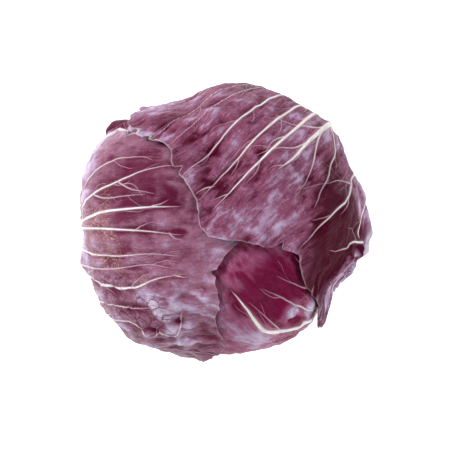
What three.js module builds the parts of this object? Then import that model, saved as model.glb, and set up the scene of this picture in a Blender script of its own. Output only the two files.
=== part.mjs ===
// A head of red Chioggia radicchio, trimmed and ready to sell, standing on its cut stem with the crown up.
//
// Millimetres and degrees. +Z runs up the stem and out through the crown. The origin is the centre of
// the stem's cut face, on which the head rests.
//
// How the head is put together, from the inside out:
//   stem            the short white butt that every leaf grows from, cut flat at the bottom
//   heart           the tight bud of young leaves, packed solid, that stands on the stem
//   inner_leaf_12.. separate cupped leaves, each wrapped over the younger ones by the golden angle
//   ..wrapper_leaf_01  the oldest leaf, outside all the others
//
// Every leaf is laid out in a flat "leaf sheet", in degrees of arc round the head's middle: x runs across
// the leaf, y up it, and 0, 0 is the middle of the blade. One degree is close to one millimetre of leaf.
// The sheet is then wrapped round the head. The leaves never cross, because each one lies on the sum of
// the layers under it.
import * as THREE from "three";

const { clamp, degToRad, euclideanModulo, lerp, radToDeg, smoothstep } = THREE.MathUtils;

// ---------------------------------------------------------------- the head

const CENTRE_HEIGHT = 50; // of the head's middle above the cut face
// The head's radius seen from above, every 30 degrees from +X round to +Y.
const HEAD_PLAN = [58.5, 57.5, 59, 58, 56.5, 61, 60, 64, 61.5, 56, 58, 55];
const CROWN_RISE = 50; // above the middle
const BASE_DEPTH = 45; // of the underside below the middle
const HEAD_SQUARENESS = 2.15; // 2 is an ellipsoid, more is boxier
// Room that the leaves take up outside the heart, and how closely the last two keep to the pole.
const SIDE_ROOM = 15;
const CROWN_ROOM = { depth: 24, power: 16 };
const BASE_ROOM = { depth: 5.5, power: 1.5 };
const HEART_SEGMENTS = [32, 18]; // round the heart and from pole to pole

const STEM_RADIUS = 12.5;
const STEM_CHAMFER = 0.8; // round the cut face
const STEM_SHOULDER = 2; // round the top, under the heart
const STEM_SEGMENTS = 28;
const STEM_CLEARANCE = 0.5; // between the stem and the leaf bases
const PARTING = 5; // how tightly the leaf bases turn down along the stem
const TOUCH_GAP = 0.3; // between the stem and the heart that grows on it

// ---------------------------------------------------------------- the leaves

const LEAF_COUNT = 12;
const WRAPPER_COUNT = 6; // the leaves that show
const OUTER_COUNT = 3; // the wrappers that show nearly whole
const OUTER_CELLS = 20; // of a leaf's mesh, along and across it
const WRAPPER_CELLS = 18;
const INNER_CELLS = 16;

const FIRST_AZIMUTH = 43; // of the outermost leaf
const GOLDEN_ANGLE = 137.5; // from each leaf to the next one in
const BLADE_LATITUDE = 6; // of the middle of each blade above the head's middle
const BLADE_THICKNESS = 0.8;
// Room that one leaf takes, with the air under it. At the crown and the base the leaves are pressed closer.
const SIDE_LAYER = 2.3;
const POLE_LAYER = 1.7;

// A blade's edge from its middle, every 30 degrees: first towards +x (round the head to the left, seen
// from above), then by the tip at 90, -x at 180 and the stem at 270.
const USUAL_EDGE = [74, 76, 80, 84, 80, 76, 74, 70, 62, 58, 62, 70];
const EDGES = {
  1: [89, 87, 84, 92, 73, 81, 89, 74, 62, 58, 64, 78],
  2: [84, 85, 81, 90, 72, 49, 36, 42, 52, 58, 62, 74],
};
const YOUNGEST_SCALE = 0.8; // of the blade of the youngest leaf, against a usual one
const EDGE_RIPPLE = 1.6; // in and out along the edge
const EDGE_RIPPLES = 13;
// How far each leaf's edge stands off the head where nothing presses on it, and how many waves run round it.
const EDGE_LIFT = { 1: 2.2, 2: 2.6, 3: 2.2, 4: 3.0, 5: 1.8 };
const USUAL_LIFT = 1.2;
const LIFT_WAVES = 9;
const LIFT_BAND = [0.8, 1.02]; // of the way from the blade's middle to its edge

// Half the angle that a leaf base fans over, seen from the blade's middle: the oldest leaf, the youngest.
const PETIOLE_SPREADS = [17, 8];
const PETIOLE_REACH = 12; // where the leaf base ends, from the head's axis

const MIDRIB_THICKNESS = 1.9; // at the base, on top of the blade
const MIDRIB_HALF_WIDTH = 11; // at the base
const MIDRIB_TIP = 0.14; // share of both that is left at the leaf's tip
const MIDRIB_LENGTH = 165;
const MIDRIB_ROOM = 2.5; // how many times wider the ridge is that a midrib raises in the leaves over it

const PILLOW_HEIGHT = 0.9; // of the broad bulges in each blade
const PILLOW_SIZE = { across: 9, along: 11, slant: 40 };

// Past a leaf's edge the next leaf out stays level over a margin, then comes down over a fall. Both are
// shorter in the zone round the stem, where the leaf bases crowd.
const COVER = { margin: 5, fall: 24 };
const BASE_COVER = { margin: 1, fall: 8 };
const BASE_ZONE = 40;

const LEAVES = Array.from({ length: LEAF_COUNT }, (_, i) => {
  const number = i + 1;
  const age = i / (LEAF_COUNT - 1); // 0 for the oldest leaf, 1 for the youngest
  const isWrapper = number <= WRAPPER_COUNT;
  const azimuth = degToRad(FIRST_AZIMUTH + i * GOLDEN_ANGLE);
  const latitude = degToRad(BLADE_LATITUDE);
  return {
    number,
    name: `${isWrapper ? "wrapper" : "inner"}_leaf_${String(number).padStart(2, "0")}`,
    cells: number <= OUTER_COUNT ? OUTER_CELLS : isWrapper ? WRAPPER_CELLS : INNER_CELLS,
    edge: EDGES[number] ?? USUAL_EDGE.map((distance) => distance * lerp(1, YOUNGEST_SCALE, age)),
    petioleSpread: lerp(...PETIOLE_SPREADS, age),
    lift: EDGE_LIFT[number] ?? USUAL_LIFT,
    out: new THREE.Vector3(
      Math.cos(azimuth) * Math.cos(latitude),
      Math.sin(azimuth) * Math.cos(latitude),
      Math.sin(latitude),
    ),
    across: new THREE.Vector3(-Math.sin(azimuth), Math.cos(azimuth), 0),
    up: new THREE.Vector3(
      -Math.cos(azimuth) * Math.sin(latitude),
      -Math.sin(azimuth) * Math.sin(latitude),
      Math.cos(latitude),
    ),
  };
});

// ---------------------------------------------------------------- the leaf sheet

// A smooth closed curve through values that are spaced evenly round the circle.
function ring(values, degrees) {
  const n = values.length;
  const place = (euclideanModulo(degrees, 360) / 360) * n;
  const i = Math.floor(place) % n;
  const t = place - Math.floor(place);
  const [a, b, c, d] = [-1, 0, 1, 2].map((k) => values[(i + k + n) % n]);
  const slope = (c - a) / 2;
  const bend = a - 2.5 * b + 2 * c - d / 2;
  const twist = (d - a) / 2 + 1.5 * (b - c);
  return b + slope * t + bend * t ** 2 + twist * t ** 3;
}

// A place on a leaf's sheet, both square (x, y) and polar (rho, psi).
function polarPlace(rho, psi) {
  return { rho, psi, x: rho * Math.cos(degToRad(psi)), y: rho * Math.sin(degToRad(psi)) };
}

// Where a direction from the head's middle falls on a leaf's sheet.
function onSheet(leaf, d) {
  const rho = radToDeg(Math.acos(clamp(d.dot(leaf.out), -1, 1)));
  return polarPlace(rho, radToDeg(Math.atan2(d.dot(leaf.up), d.dot(leaf.across))));
}

// The direction from the head's middle through a place on a leaf's sheet.
function direction(leaf, { rho, psi }) {
  const sine = Math.sin(degToRad(rho));
  return new THREE.Vector3()
    .addScaledVector(leaf.out, Math.cos(degToRad(rho)))
    .addScaledVector(leaf.across, sine * Math.cos(degToRad(psi)))
    .addScaledVector(leaf.up, sine * Math.sin(degToRad(psi)));
}

// Distance from the blade's middle to the leaf's edge, along the angle psi.
function edgeDistance(leaf, psi) {
  const ripple = EDGE_RIPPLE * Math.sin(degToRad(psi * EDGE_RIPPLES) + leaf.number);
  const blade = ring(leaf.edge, psi) + ripple;
  const base = 90 + BLADE_LATITUDE - PETIOLE_REACH;
  const fromStem = euclideanModulo(psi - 90, 360) - 180;
  return lerp(blade, base, Math.exp(-((fromStem / leaf.petioleSpread) ** 2)));
}

// Extra thickness of the fleshy midrib, which tapers from the stem to the tip. A width over 1 spreads it.
function midrib({ x, y }, width = 1) {
  const fromBase = clamp((y + 90) / MIDRIB_LENGTH, 0, 1);
  const taper = lerp(1, MIDRIB_TIP, Math.sqrt(fromBase));
  const aside = Math.min(1, Math.abs(x) / (MIDRIB_HALF_WIDTH * taper * width));
  return MIDRIB_THICKNESS * taper * Math.cos((aside * Math.PI) / 2) ** 2;
}

// Broad bulges between the ribs, in a different place on each leaf.
function pillow(leaf, { x, y }) {
  const across = x / PILLOW_SIZE.across + leaf.number * 2.1;
  const along = y / PILLOW_SIZE.along + x / PILLOW_SIZE.slant + leaf.number * 1.3;
  return (PILLOW_HEIGHT * (1 + Math.sin(across) * Math.sin(along))) / 2;
}

// The edge stands off the head in waves.
function edgeLift(leaf, { rho, psi }) {
  const wave = 0.6 - 0.4 * Math.cos(degToRad(psi * LIFT_WAVES));
  return leaf.lift * wave * smoothstep(rho / edgeDistance(leaf, psi), ...LIFT_BAND);
}

// 1 on the leaf and just past its edge, falling smoothly to 0 further out.
function cover(leaf, { rho, psi, x, y }) {
  const fromStem = Math.hypot(x, y + 90 + BLADE_LATITUDE);
  const atBase = Math.exp(-((fromStem / BASE_ZONE) ** 2));
  const margin = lerp(COVER.margin, BASE_COVER.margin, atBase);
  const fall = lerp(COVER.fall, BASE_COVER.fall, atBase);
  return 1 - smoothstep(rho - edgeDistance(leaf, psi) - margin, 0, fall);
}

// ---------------------------------------------------------------- the layers

// Distance from the head's middle to the heart's surface: the outside of the head, less the leaves' room.
function heartRadius(d) {
  const plan = ring(HEAD_PLAN, radToDeg(Math.atan2(d.y, d.x)));
  const rise = d.z > 0 ? CROWN_RISE : BASE_DEPTH;
  const level = Math.hypot(d.x, d.y) / plan;
  const n = HEAD_SQUARENESS;
  const outside = (level ** n + (Math.abs(d.z) / rise) ** n) ** (-1 / n);
  const room = d.z > 0 ? CROWN_ROOM : BASE_ROOM;
  return outside - lerp(SIDE_ROOM, room.depth, Math.abs(d.z) ** room.power);
}

// Distance from the head's middle to the outside of leaf k, counted from 0, along direction d.
function leafRadius(k, d) {
  const layer = lerp(SIDE_LAYER, POLE_LAYER, d.z ** 2);
  let pressed = 0;
  let radius = heartRadius(d);
  LEAVES.forEach((leaf, m) => {
    const place = onSheet(leaf, d);
    const share = m === k ? 1 : cover(leaf, place);
    if (m >= k) {
      const rib = midrib(place, m === k ? 1 : MIDRIB_ROOM);
      const free = (1 - pressed) * edgeLift(leaf, place);
      radius += share * (layer + rib + pillow(leaf, place) + free);
    }
    pressed = Math.max(pressed, share);
  });
  return radius;
}

// The point at a radius along d. The leaf bases are parted round the stem.
function placed(d, radius) {
  const p = d.clone().multiplyScalar(radius);
  const fromAxis = Math.hypot(p.x, p.y);
  if (d.z < 0) {
    const stem = (STEM_RADIUS + STEM_CLEARANCE) * Math.min(1, -2 * d.z);
    const parted = (fromAxis ** PARTING + stem ** PARTING) ** (1 / PARTING) / fromAxis;
    p.x *= parted;
    p.y *= parted;
  }
  p.z += CENTRE_HEIGHT;
  return p;
}

// ---------------------------------------------------------------- leaf mesh

// Where the corners of a leaf's square grid go on its edge, as the angle psi. The side between the last
// corner and the first is the narrow leaf base.
const BASE_RIGHT = -70;
const TIP_RIGHT = 45;
const TIP_LEFT = 135;
const BASE_LEFT = 250;

// A place on the leaf sheet from a square grid, where a runs from -1 to 1 across and b from base to tip.
// Each square ring of the grid becomes a smaller copy of the leaf's edge, so no cell can fold over.
function gridPlace(leaf, a, b) {
  const ringSize = Math.max(Math.abs(a), Math.abs(b));
  if (ringSize === 0) return polarPlace(0, 0);
  const between = (from, to, t) => lerp(from, to, (t / ringSize + 1) / 2);
  let psi;
  if (a === ringSize) psi = between(BASE_RIGHT, TIP_RIGHT, b);
  else if (a === -ringSize) psi = between(BASE_LEFT, TIP_LEFT, b);
  else if (b === ringSize) psi = between(TIP_LEFT, TIP_RIGHT, a);
  else psi = between(BASE_LEFT, BASE_RIGHT + 360, a);
  return polarPlace(ringSize * edgeDistance(leaf, psi), psi);
}

// The triangles of a square grid of n cells a side, whose vertices run row by row from its upper left
// corner. Each cell is split along the line that points away from the middle.
function gridFaces(n) {
  const faces = [];
  for (let row = 0; row < n; row++) {
    for (let column = 0; column < n; column++) {
      const upperLeft = row * (n + 1) + column;
      const upperRight = upperLeft + 1;
      const lowerLeft = upperLeft + n + 1;
      const lowerRight = lowerLeft + 1;
      const isUpper = row < n / 2;
      const isLeft = column < n / 2;
      if (isUpper === isLeft) faces.push(upperLeft, lowerLeft, lowerRight, upperLeft, lowerRight, upperRight);
      else faces.push(upperLeft, lowerLeft, upperRight, lowerLeft, lowerRight, upperRight);
    }
  }
  return faces;
}

// The same grid's outline, counter-clockwise from its upper left corner.
function gridOutline(n) {
  const steps = [...Array(n).keys()];
  const down = steps.map((i) => i * (n + 1));
  const right = steps.map((i) => n * (n + 1) + i);
  const up = steps.map((i) => (n - i) * (n + 1) + n);
  const left = steps.map((i) => n - i);
  return [...down, ...right, ...up, ...left];
}

// A thin closed shell: an outer sheet, an inner sheet below it and a strip round the edge.
function leafGeometry(k) {
  const leaf = LEAVES[k];
  const grid = new THREE.PlaneGeometry(2, 2, leaf.cells, leaf.cells).getAttribute("position");
  const count = grid.count;
  const points = new Float32Array(count * 2 * 3);
  for (let i = 0; i < count; i++) {
    const place = gridPlace(leaf, grid.getX(i), grid.getY(i));
    const d = direction(leaf, place);
    const radius = leafRadius(k, d);
    placed(d, radius).toArray(points, i * 3);
    placed(d, radius - BLADE_THICKNESS - midrib(place)).toArray(points, (count + i) * 3);
  }
  const outside = gridFaces(leaf.cells);
  const inside = outside.map((vertex) => vertex + count).reverse();
  const outline = gridOutline(leaf.cells);
  const rim = outline.flatMap((a, i) => {
    const b = outline[(i + 1) % outline.length];
    return [b, a, a + count, b, a + count, b + count];
  });
  return new THREE.BufferGeometry()
    .setAttribute("position", new THREE.BufferAttribute(points, 3))
    .setIndex([...outside, ...inside, ...rim]);
}

// ---------------------------------------------------------------- heart and stem

const HEART_BOTTOM = CENTRE_HEIGHT - BASE_DEPTH + BASE_ROOM.depth;

function heartGeometry() {
  const ball = new THREE.SphereGeometry(1, ...HEART_SEGMENTS).rotateX(Math.PI / 2);
  const points = ball.getAttribute("position");
  for (let i = 0; i < points.count; i++) {
    const d = new THREE.Vector3().fromBufferAttribute(points, i).normalize();
    d.multiplyScalar(heartRadius(d));
    points.setXYZ(i, d.x, d.y, d.z + CENTRE_HEIGHT);
  }
  return ball;
}

function stemGeometry() {
  const top = HEART_BOTTOM - TOUCH_GAP;
  const profile = [
    [0, 0],
    [STEM_RADIUS - STEM_CHAMFER, 0],
    [STEM_RADIUS, STEM_CHAMFER],
    [STEM_RADIUS, top - STEM_SHOULDER],
    [STEM_RADIUS - STEM_SHOULDER, top],
    [0, top],
  ].map(([radius, height]) => new THREE.Vector2(radius, height));
  return new THREE.LatheGeometry(profile, STEM_SEGMENTS).rotateX(Math.PI / 2);
}

// ---------------------------------------------------------------- the model

const STEM_WHITE = new THREE.MeshStandardMaterial({ color: 0xe6dfc8, roughness: 0.6, metalness: 0 });
const HEART_PINK = new THREE.MeshStandardMaterial({ color: 0xb57a95, roughness: 0.5, metalness: 0 });
const LEAF_MAROON = new THREE.MeshStandardMaterial({ color: 0x7d3b57, roughness: 0.45, metalness: 0 });

function piece(name, geometry, material) {
  const mesh = new THREE.Mesh(geometry, material);
  mesh.name = name;
  return mesh;
}

const head = new THREE.Group();
head.add(piece("stem", stemGeometry(), STEM_WHITE));
head.add(piece("heart", heartGeometry(), HEART_PINK));
LEAVES.forEach((leaf, k) => head.add(piece(leaf.name, leafGeometry(k), LEAF_MAROON)));

export default head;
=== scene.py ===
# %% [markdown]
# # A head of red radicchio
#
# A head of Chioggia radicchio is a ball of cupped leaves. Each leaf grows from the short stem at the bottom,
# runs up the side as a thick white rib, fans out into veins and folds over the crown. A new leaf comes
# every 137.5 degrees, so the leaves lie over each other in a spiral.
#
# The frame already holds the head as solids: a stem, a heart and twelve leaf shells. They have the right
# form but few faces. This lesson makes each leaf again from a fine mesh on the same form, gives it ribs,
# puckers and a torn margin, and then colours it by how far each point is from the nearest vein.

# %% Load the frame
import math
from types import SimpleNamespace

import bmesh
import bpy
import numpy as np
from mathutils import Matrix, Vector


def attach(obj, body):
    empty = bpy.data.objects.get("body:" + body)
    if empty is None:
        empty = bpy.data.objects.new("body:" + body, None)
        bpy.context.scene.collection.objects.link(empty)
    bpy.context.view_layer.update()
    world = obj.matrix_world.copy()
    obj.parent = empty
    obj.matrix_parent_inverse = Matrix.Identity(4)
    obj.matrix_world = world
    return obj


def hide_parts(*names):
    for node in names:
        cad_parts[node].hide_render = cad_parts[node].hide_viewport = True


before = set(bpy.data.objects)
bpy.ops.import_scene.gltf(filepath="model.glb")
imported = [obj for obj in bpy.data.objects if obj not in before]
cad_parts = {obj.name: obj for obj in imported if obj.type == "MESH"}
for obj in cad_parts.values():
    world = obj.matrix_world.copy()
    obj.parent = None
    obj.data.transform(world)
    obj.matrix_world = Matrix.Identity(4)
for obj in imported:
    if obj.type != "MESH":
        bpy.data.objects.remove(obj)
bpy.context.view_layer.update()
print("frame nodes:", ", ".join(sorted(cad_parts)))

# %% [markdown]
# ## Small tools
#
# The whole form is worked out in millimetres and degrees with numpy, which handles every vertex of a leaf at
# once. Only the last step turns millimetres into Blender's metres. `smoothstep` fades from 0 to 1 between two
# limits, and `ring` draws one smooth closed curve through values spaced evenly round a circle.

# %% Helpers for arrays
MM = 0.001


def lerp(a, b, t):
    return a + (b - a) * t


def ease(t):
    return t * t * (3 - 2 * t)


def smoothstep(x, low, high):
    return ease(np.clip((x - low) / (high - low), 0, 1))


def bell(x):
    return np.exp(-(x**2))


def between(a, b, c, d, t):
    """The smooth curve through four values, from b at t 0 to c at t 1."""
    bend = a - 2.5 * b + 2 * c - d / 2
    twist = (d - a) / 2 + 1.5 * (b - c)
    return b + (c - a) / 2 * t + bend * t**2 + twist * t**3


def ring(values, degrees):
    """A smooth closed curve through values that are spaced evenly round the circle."""
    v = np.asarray(values, float)
    place = np.mod(degrees, 360) / 360 * len(v)
    i = np.floor(place).astype(int)
    return between(*(v[(i + step) % len(v)] for step in (-1, 0, 1, 2)), place - i)


NOISE_SIZE = 64


def noise(x, y, seed):
    """Smooth random hills between -1 and 1, one to each unit of x and y."""
    table = np.random.default_rng(seed).uniform(-1, 1, (NOISE_SIZE, NOISE_SIZE))
    column = np.floor(x).astype(int)
    row = np.floor(y).astype(int)
    u = ease(x - column)
    v = ease(y - row)
    corner = [table[(column + i) % NOISE_SIZE, (row + j) % NOISE_SIZE] for i in (0, 1) for j in (0, 1)]
    return lerp(lerp(corner[0], corner[1], v), lerp(corner[2], corner[3], v), u)


print("ring through 1, 2, 3 at 60 degrees:", round(float(ring([1, 2, 3], np.array(60.0))), 3))

# %% Helpers for objects


def mesh_from(bm, name):
    mesh = bpy.data.meshes.new(name)
    bm.to_mesh(mesh)
    bm.free()
    return mesh


def add_object(data):
    added = bpy.data.objects.new(data.name, data)
    bpy.context.scene.collection.objects.link(added)
    return added


def read(items, name, kind, width=1):
    values = np.empty(len(items) * width, kind)
    items.foreach_get(name, values)
    return values


def shade_smooth(mesh):
    mesh.polygons.foreach_set("use_smooth", np.ones(len(mesh.polygons), bool))


# %% [markdown]
# ## The form of the head
#
# These are the frame's own driving sizes. The outside of the head is a slightly square ellipsoid with an
# uneven plan. Taking away the room that the leaves need gives the heart, and every leaf is then laid on the
# sum of the layers under it, so no two leaves can cross.
#
# A leaf is laid out flat on its own sheet, in degrees of arc round the head's middle: x across the leaf, y up
# it. `rho` and `psi` are the same place in polar form, measured from the middle of the blade. One degree is
# close to one millimetre of leaf.

# %% Driving sizes of the head and its leaves
CENTRE_HEIGHT = 50
HEAD_PLAN = [58.5, 57.5, 59, 58, 56.5, 61, 60, 64, 61.5, 56, 58, 55]
CROWN_RISE = 50
BASE_DEPTH = 45
HEAD_SQUARENESS = 2.15
SIDE_ROOM = 15
CROWN_ROOM = 24
CROWN_ROOM_POWER = 16
BASE_ROOM = 5.5
BASE_ROOM_POWER = 1.5
STEM_RADIUS = 12.5
STEM_CLEARANCE = 0.5
PARTING = 5

LEAF_COUNT = 12
WRAPPER_COUNT = 6
FIRST_AZIMUTH = 43
GOLDEN_ANGLE = 137.5
BLADE_LATITUDE = 6
SIDE_LAYER = 2.3
POLE_LAYER = 1.7

USUAL_EDGE = [74, 76, 80, 84, 80, 76, 74, 70, 62, 58, 62, 70]
EDGES = {
    1: [89, 87, 84, 92, 73, 81, 89, 74, 62, 58, 64, 78],
    2: [84, 85, 81, 90, 72, 49, 36, 42, 52, 58, 62, 74],
}
YOUNGEST_SCALE = 0.8
EDGE_RIPPLE = 1.6
EDGE_RIPPLES = 13
EDGE_LIFT = {1: 2.2, 2: 2.6, 3: 2.2, 4: 3.0, 5: 1.8}
USUAL_LIFT = 1.2
LIFT_WAVES = 9
LIFT_MEAN = 0.6
LIFT_SWING = 0.4
LIFT_BAND = (0.8, 1.02)
PETIOLE_SPREADS = (17, 8)
PETIOLE_REACH = 12

MIDRIB_THICKNESS = 1.9
MIDRIB_HALF_WIDTH = 11
MIDRIB_TIP = 0.14
MIDRIB_LENGTH = 165
MIDRIB_ROOM = 2.5
PILLOW_HEIGHT = 0.9
PILLOW_SIZE = (9, 11)
PILLOW_SLANT = 40
PILLOW_SHIFTS = (2.1, 1.3)
COVER_MARGIN = 5
COVER_FALL = 24
BASE_COVER_MARGIN = 1
BASE_COVER_FALL = 8
BASE_ZONE = 40


def make_leaf(number):
    """The frame of one leaf: which way its blade faces, its outline, and how it lifts at the edge."""
    age = (number - 1) / (LEAF_COUNT - 1)
    azimuth = math.radians(FIRST_AZIMUTH + (number - 1) * GOLDEN_ANGLE)
    latitude = math.radians(BLADE_LATITUDE)
    level = np.array([math.cos(azimuth), math.sin(azimuth), 0])
    pole = np.array([0, 0, 1])
    kind = "wrapper" if number <= WRAPPER_COUNT else "inner"
    usual = [distance * lerp(1, YOUNGEST_SCALE, age) for distance in USUAL_EDGE]
    return SimpleNamespace(
        number=number,
        kind=kind,
        node=f"{kind}_leaf_{number:02d}",
        edge=EDGES.get(number, usual),
        petiole_spread=lerp(*PETIOLE_SPREADS, age),
        lift=EDGE_LIFT.get(number, USUAL_LIFT),
        out=level * math.cos(latitude) + pole * math.sin(latitude),
        across=np.array([-math.sin(azimuth), math.cos(azimuth), 0]),
        up=pole * math.cos(latitude) - level * math.sin(latitude),
    )


LEAVES = [make_leaf(number) for number in range(1, LEAF_COUNT + 1)]
print("leaves:", ", ".join(leaf.node for leaf in LEAVES))

# %% Between the sheet and the head


def square(rho, psi):
    """Polar places on a sheet as x and y."""
    return rho * np.cos(np.radians(psi)), rho * np.sin(np.radians(psi))


def direction(leaf, rho, psi):
    """Unit vectors from the head's middle through places on a leaf's sheet."""
    x, y = square(np.sin(np.radians(rho)), psi)
    return np.cos(np.radians(rho))[:, None] * leaf.out + x[:, None] * leaf.across + y[:, None] * leaf.up


def on_sheet(leaf, d):
    """Where directions from the head's middle meet a leaf's sheet."""
    rho = np.degrees(np.arccos(np.clip(d @ leaf.out, -1, 1)))
    return rho, np.degrees(np.arctan2(d @ leaf.up, d @ leaf.across))


def from_base(psi):
    """Degrees of psi from the leaf's base, which is at 270, less than 0 on one side of it."""
    return np.mod(psi - 90, 360) - 180


def edge_distance(leaf, psi):
    blade = ring(leaf.edge, psi) + EDGE_RIPPLE * np.sin(np.radians(psi * EDGE_RIPPLES) + leaf.number)
    return lerp(blade, 90 + BLADE_LATITUDE - PETIOLE_REACH, bell(from_base(psi) / leaf.petiole_spread))


tip = edge_distance(LEAVES[0], np.array([90.0]))
print("leaf 1 reaches", round(float(tip[0])), "degrees up from the middle of its blade")

# %% The layers of the head


def midrib(x, y, width=1.0):
    taper = lerp(1, MIDRIB_TIP, np.sqrt(np.clip((y + 90) / MIDRIB_LENGTH, 0, 1)))
    aside = np.minimum(1, np.abs(x) / (MIDRIB_HALF_WIDTH * taper * width))
    return MIDRIB_THICKNESS * taper * np.cos(aside * math.pi / 2) ** 2


def pillow(leaf, x, y):
    across = x / PILLOW_SIZE[0] + leaf.number * PILLOW_SHIFTS[0]
    along = y / PILLOW_SIZE[1] + x / PILLOW_SLANT + leaf.number * PILLOW_SHIFTS[1]
    return PILLOW_HEIGHT * (1 + np.sin(across) * np.sin(along)) / 2


def edge_lift(leaf, rho, psi):
    wave = LIFT_MEAN - LIFT_SWING * np.cos(np.radians(psi * LIFT_WAVES))
    return leaf.lift * wave * smoothstep(rho / edge_distance(leaf, psi), *LIFT_BAND)


def cover(leaf, rho, psi):
    """1 under the leaf and just past its edge, falling smoothly to 0 further out."""
    x, y = square(rho, psi)
    at_base = bell(np.hypot(x, y + 90 + BLADE_LATITUDE) / BASE_ZONE)
    margin = lerp(COVER_MARGIN, BASE_COVER_MARGIN, at_base)
    fall = lerp(COVER_FALL, BASE_COVER_FALL, at_base)
    return 1 - smoothstep(rho - edge_distance(leaf, psi) - margin, 0, fall)


def heart_radius(d):
    plan = ring(HEAD_PLAN, np.degrees(np.arctan2(d[:, 1], d[:, 0])))
    is_up = d[:, 2] > 0
    steep = np.abs(d[:, 2])
    level = np.hypot(d[:, 0], d[:, 1]) / plan
    rise = steep / np.where(is_up, CROWN_RISE, BASE_DEPTH)
    outside = (level**HEAD_SQUARENESS + rise**HEAD_SQUARENESS) ** (-1 / HEAD_SQUARENESS)
    room = np.where(is_up, CROWN_ROOM, BASE_ROOM)
    power = np.where(is_up, CROWN_ROOM_POWER, BASE_ROOM_POWER)
    return outside - lerp(SIDE_ROOM, room, steep**power)


def leaf_radius(leaf, d):
    """Distance from the head's middle to the outside of a leaf."""
    layer = lerp(SIDE_LAYER, POLE_LAYER, d[:, 2] ** 2)
    radius = heart_radius(d)
    pressed = np.zeros(len(d))
    for other in LEAVES:
        rho, psi = on_sheet(other, d)
        x, y = square(rho, psi)
        share = np.ones(len(d)) if other is leaf else cover(other, rho, psi)
        if other.number >= leaf.number:
            rib = midrib(x, y, 1.0 if other is leaf else MIDRIB_ROOM)
            free = (1 - pressed) * edge_lift(other, rho, psi)
            radius += share * (layer + rib + pillow(other, x, y) + free)
        pressed = np.maximum(pressed, share)
    return radius


def placed(d, radius):
    """Points at a radius along each direction, with the leaf bases parted round the stem."""
    p = d * radius[:, None]
    from_axis = np.hypot(p[:, 0], p[:, 1])
    stem = (STEM_RADIUS + STEM_CLEARANCE) * np.clip(-2 * d[:, 2], 0, 1)
    p[:, :2] *= ((from_axis**PARTING + stem**PARTING) ** (1 / PARTING) / from_axis)[:, None]
    p[:, 2] += CENTRE_HEIGHT
    return p


side = LEAVES[0].out[None, :]
print("leaf 1 stands off the head's middle by", round(float(leaf_radius(LEAVES[0], side)[0]), 1), "mm")
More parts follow.
